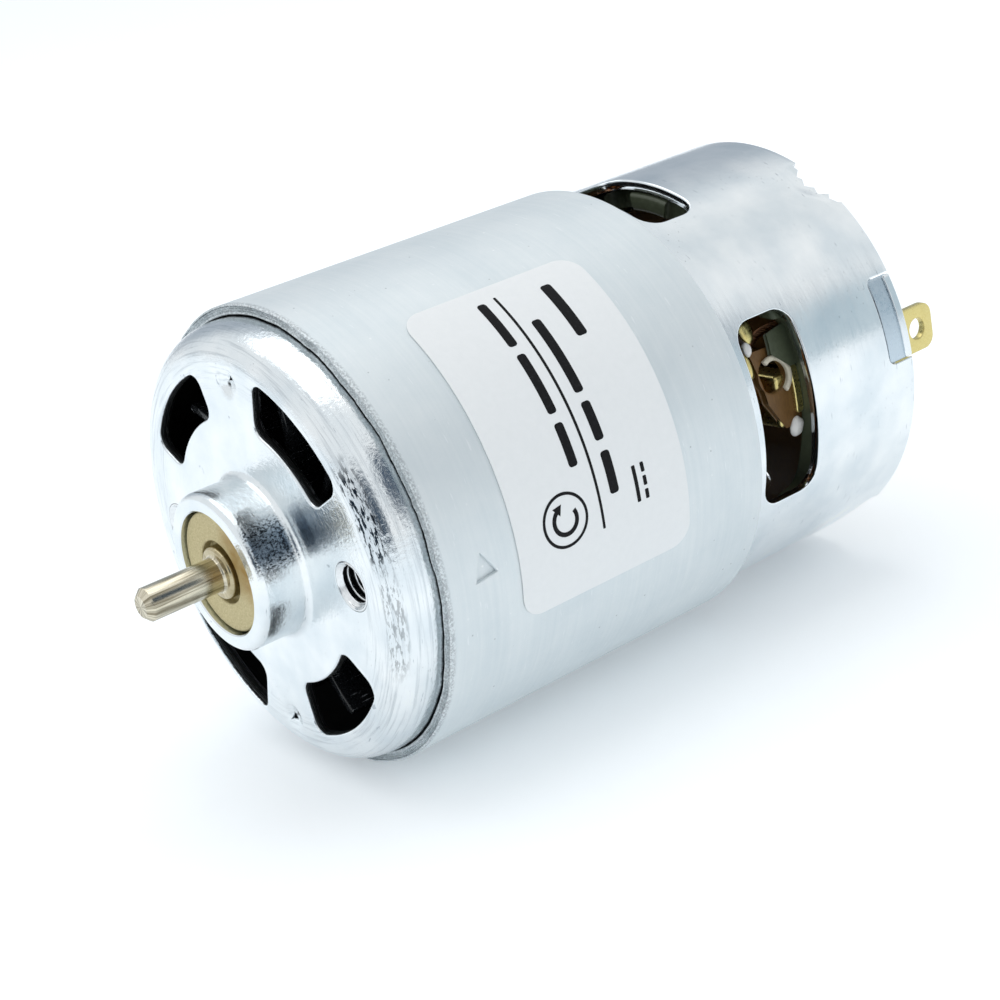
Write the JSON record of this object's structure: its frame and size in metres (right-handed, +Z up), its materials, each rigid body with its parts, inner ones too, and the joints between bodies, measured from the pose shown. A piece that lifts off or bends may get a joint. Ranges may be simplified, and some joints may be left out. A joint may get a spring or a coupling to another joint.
{
  "type": "electric motor",
  "caption": "Brushed DC motor: drawn steel can with a flux ring, vented face, bearing boss, stepped shaft, side windows and rear tab terminals.",
  "frame": {"origin": "centre of the flat front mounting face, on the shaft axis", "axes": "-Y along the shaft towards its output end, +X through the right-hand tapped hole of the face, +Z up with the motor on its side"},
  "size_m": [0.0444, 0.086, 0.0442],
  "materials": {
    "zinc_plate": "bright zinc plate over drawn steel",
    "ring_steel": "satin zinc plate over rolled steel",
    "label_paper": "white film label",
    "ferrite": "matt dark ferrite",
    "spring_steel": "bright spring steel",
    "sintered_bronze": "matt oil-soaked sintered bronze",
    "shaft_steel": "ground steel",
    "lamination_steel": "stacked laminations",
    "insulator_plastic": "moulded insulator",
    "enamelled_copper": "enamelled copper wire",
    "commutator_copper": "turned copper",
    "bakelite": "moulded phenolic",
    "fan_plastic": "black nylon",
    "washer_nylon": "natural nylon",
    "carbon": "pressed carbon",
    "brass": "stamped brass",
    "brown_laminate": "paper phenolic laminate",
    "olive_moulding": "dark olive moulding",
    "copper_braid": "copper braid"
  },
  "bodies": {
    "housing": {"motor_can": "zinc_plate", "flux_ring": "ring_steel", "ring_label": "label_paper", "magnet_upper": "ferrite", "magnet_lower": "ferrite", "magnet_clip_right": "spring_steel", "magnet_clip_left": "spring_steel", "front_bush": "sintered_bronze", "rear_bush": "sintered_bronze", "end_plate": "zinc_plate", "end_moulding": "olive_moulding", "brush_card": "brown_laminate", "brush_box_right": "brass", "brush_spring_right": "spring_steel", "brush_pigtail_right": "copper_braid", "terminal_right": "brass", "terminal_insulator_right": "olive_moulding", "brush_box_left": "brass", "brush_spring_left": "spring_steel", "brush_pigtail_left": "copper_braid", "terminal_left": "brass", "terminal_insulator_left": "olive_moulding"},
    "rotor": {"shaft": "shaft_steel", "armature_core": "lamination_steel", "insulator_front": "insulator_plastic", "insulator_rear": "insulator_plastic", "commutator_hub": "bakelite", "cooling_fan": "fan_plastic", "thrust_washer_front": "washer_nylon", "thrust_washer_rear": "washer_nylon", "coil_1": "enamelled_copper", "commutator_bar_1": "commutator_copper", "coil_2": "enamelled_copper", "commutator_bar_2": "commutator_copper", "coil_3": "enamelled_copper", "commutator_bar_3": "commutator_copper", "coil_4": "enamelled_copper", "commutator_bar_4": "commutator_copper", "coil_5": "enamelled_copper", "commutator_bar_5": "commutator_copper"},
    "brush_right": {"carbon_brush_right": "carbon"},
    "brush_left": {"carbon_brush_left": "carbon"}
  },
  "joints": [
    {"name": "rotor_spin", "type": "hinge", "parent": "housing", "child": "rotor", "pos_m": [0, 0, 0], "axis": [0, -1, 0], "continuous": true},
    {"name": "brush_slide_right", "type": "slide", "parent": "housing", "child": "brush_right", "axis": [1, 0, 0], "range_m": [0, 0.0025], "stiffness_N_per_m": 150, "springref_m": -0.012, "deforming": ["brush_spring_right", "brush_pigtail_right"]},
    {"name": "brush_slide_left", "type": "slide", "parent": "housing", "child": "brush_left", "axis": [-1, 0, 0], "range_m": [0, 0.0025], "stiffness_N_per_m": 150, "springref_m": -0.012, "deforming": ["brush_spring_left", "brush_pigtail_left"]}
  ]
}
